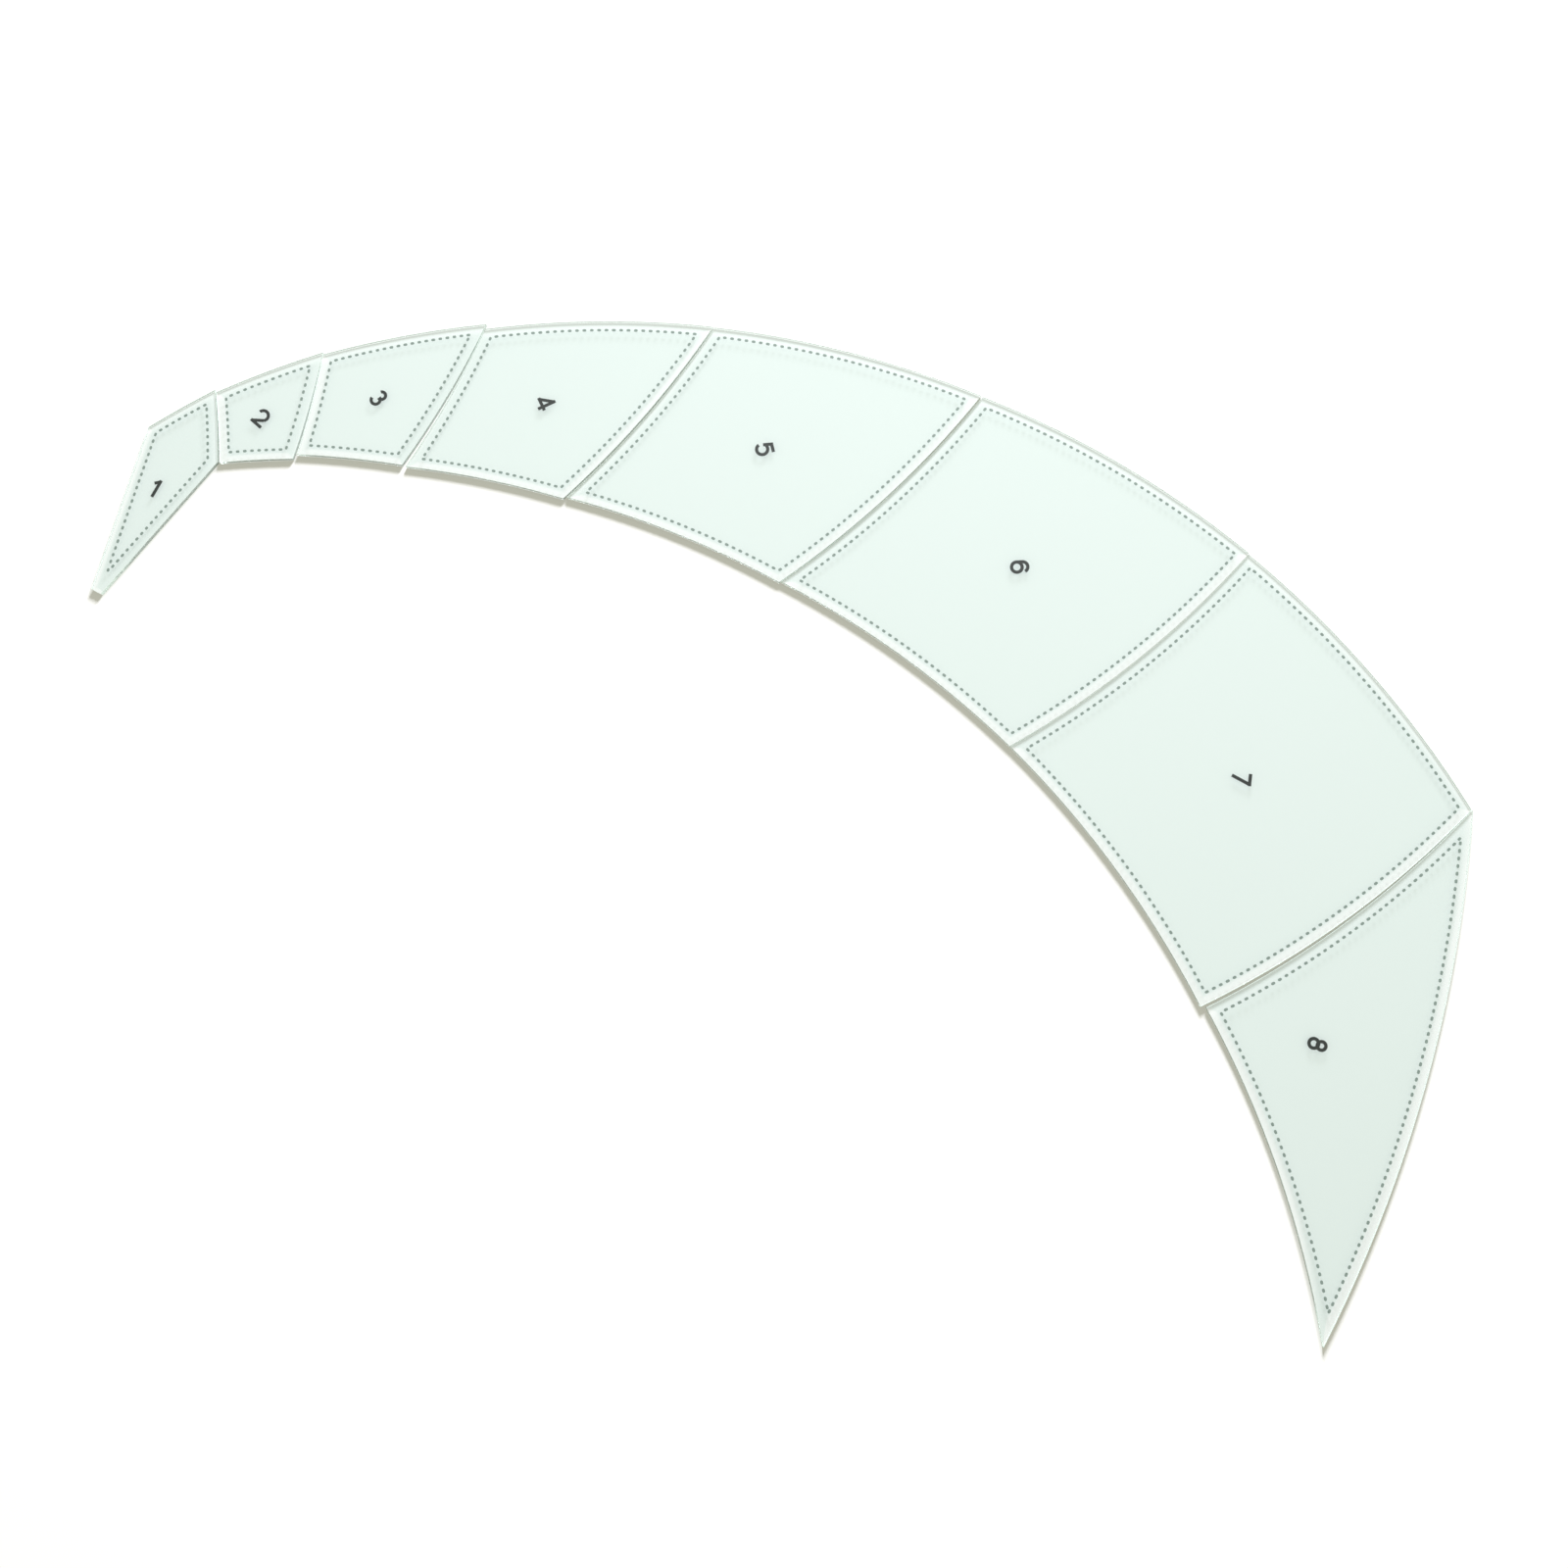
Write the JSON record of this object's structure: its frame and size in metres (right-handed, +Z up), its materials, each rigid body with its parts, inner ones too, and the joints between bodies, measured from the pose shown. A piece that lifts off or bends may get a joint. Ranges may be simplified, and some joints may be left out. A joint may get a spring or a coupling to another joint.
{
  "type": "patchwork template set",
  "caption": "Set of flat clear acrylic sewing templates with dashed stitch lines, laid as a curved arm of kite shapes that grow from a narrow tip to a broad end.",
  "frame": {"origin": "middle of the whole layout's bounding box, on the surface that the templates lie on", "axes": "+Z up out of the printed faces; +X along the layout's longer side, from the smallest template towards the largest; +Y from the arm's lower end towards its crown"},
  "size_m": [0.8712, 0.645, 0.0031],
  "materials": {
    "acrylic": "clear cast acrylic sheet with a faint mint tint, polished faces and laser-cut edges",
    "stitch_ink": "thin grey-green printed ink",
    "numeral_ink": "thin near-black printed ink"
  },
  "bodies": {
    "piece_1": {"template_1": "acrylic", "stitch_line_1": "stitch_ink", "numeral_1": "numeral_ink"},
    "piece_2": {"template_2": "acrylic", "stitch_line_2": "stitch_ink", "numeral_2": "numeral_ink"},
    "piece_3": {"template_3": "acrylic", "stitch_line_3": "stitch_ink", "numeral_3": "numeral_ink"},
    "piece_4": {"template_4": "acrylic", "stitch_line_4": "stitch_ink", "numeral_4": "numeral_ink"},
    "piece_5": {"template_5": "acrylic", "stitch_line_5": "stitch_ink", "numeral_5": "numeral_ink"},
    "piece_6": {"template_6": "acrylic", "stitch_line_6": "stitch_ink", "numeral_6": "numeral_ink"},
    "piece_7": {"template_7": "acrylic", "stitch_line_7": "stitch_ink", "numeral_7": "numeral_ink"},
    "piece_8": {"template_8": "acrylic", "stitch_line_8": "stitch_ink", "numeral_8": "numeral_ink"}
  },
  "joints": [
    {"name": "lift_1", "type": "slide", "parent": "piece_6", "child": "piece_1", "axis": [0, 0, 1], "range_m": [0, 0.08]},
    {"name": "lift_2", "type": "slide", "parent": "piece_6", "child": "piece_2", "axis": [0, 0, 1], "range_m": [0, 0.08]},
    {"name": "lift_3", "type": "slide", "parent": "piece_6", "child": "piece_3", "axis": [0, 0, 1], "range_m": [0, 0.08]},
    {"name": "lift_4", "type": "slide", "parent": "piece_6", "child": "piece_4", "axis": [0, 0, 1], "range_m": [0, 0.08]},
    {"name": "lift_5", "type": "slide", "parent": "piece_6", "child": "piece_5", "axis": [0, 0, 1], "range_m": [0, 0.08]},
    {"name": "lift_7", "type": "slide", "parent": "piece_6", "child": "piece_7", "axis": [0, 0, 1], "range_m": [0, 0.08]},
    {"name": "lift_8", "type": "slide", "parent": "piece_6", "child": "piece_8", "axis": [0, 0, 1], "range_m": [0, 0.08]}
  ]
}
